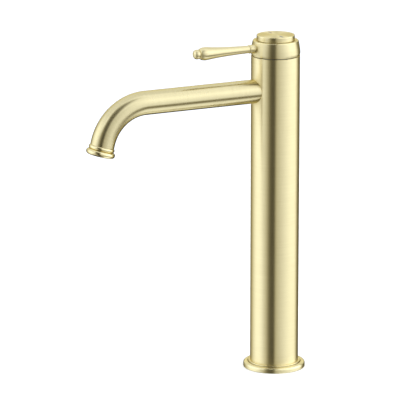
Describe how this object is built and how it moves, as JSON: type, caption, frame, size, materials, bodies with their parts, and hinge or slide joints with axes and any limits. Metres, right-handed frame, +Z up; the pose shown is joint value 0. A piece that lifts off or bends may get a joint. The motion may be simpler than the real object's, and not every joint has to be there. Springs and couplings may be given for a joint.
{
  "type": "bathroom mixer faucet",
  "caption": "Tall deck-mounted basin mixer with a round column, a long fixed spout, an aerated outlet and a pin lever on a tilting, swivelling cap.",
  "frame": {"origin": "on the column's axis at the deck surface, at the middle of the underside of the base", "axes": "+Z up the column, -Y towards the spout's outlet and the lever, -X the hot side, +X the cold side"},
  "size_m": [0.0576, 0.2192, 0.3158],
  "materials": {
    "brushed_brass": "fine brushed champagne brass, PVD coated",
    "polished_brass": "satin champagne brass, turned and lightly polished",
    "raw_brass": "machined, uncoated",
    "copper": "drawn copper tube",
    "steel": "stainless",
    "black_rubber": "smooth EPDM",
    "grey_plastic": "moulded",
    "white_plastic": "moulded",
    "ceramic_disc": "lapped alumina",
    "hot_enamel": "enamel fill",
    "cold_enamel": "enamel fill"
  },
  "bodies": {
    "column": {"column_tube": "brushed_brass", "base_flange": "brushed_brass", "base_seal": "black_rubber", "base_block": "raw_brass", "hot_tube": "copper", "cold_tube": "copper", "valve_block": "raw_brass", "block_o_rings": "black_rubber", "spout_tube": "brushed_brass", "outlet_ring": "polished_brass", "aerator_insert": "grey_plastic", "aerator_screen": "steel", "aerator_washer": "black_rubber", "cartridge_base": "white_plastic", "port_seal": "black_rubber", "cartridge_housing": "white_plastic", "cartridge_nut": "raw_brass", "fixed_disc": "ceramic_disc"},
    "turret": {"turret": "white_plastic"},
    "carrier": {"disc_carrier": "white_plastic", "moving_disc": "ceramic_disc"},
    "handle": {"handle_cap": "brushed_brass", "handle_screw": "steel", "handle_washer": "steel", "stem": "steel", "stem_pin": "steel", "cover_disc": "brushed_brass", "cover_o_ring": "black_rubber", "hot_mark": "hot_enamel", "cold_mark": "cold_enamel", "lever_collar": "brushed_brass", "lever": "brushed_brass"}
  },
  "joints": [
    {"name": "handle_swivel", "type": "hinge", "parent": "column", "child": "turret", "pos_m": [0, 0, 0.3044], "axis": [0, 0, 1], "range_deg": [-50, 50]},
    {"name": "handle_lift", "type": "hinge", "parent": "turret", "child": "handle", "pos_m": [0, 0, 0.3044], "axis": [-1, 0, 0], "range_deg": [0, 25]},
    {"name": "disc_slide", "type": "slide", "parent": "turret", "child": "carrier", "axis": [0, -1, 0], "range_m": [0, 0.0052]}
  ],
  "couplings": [
    {"joint": "disc_slide", "follows": "handle_lift", "m_per_rad": 0.01162}
  ]
}
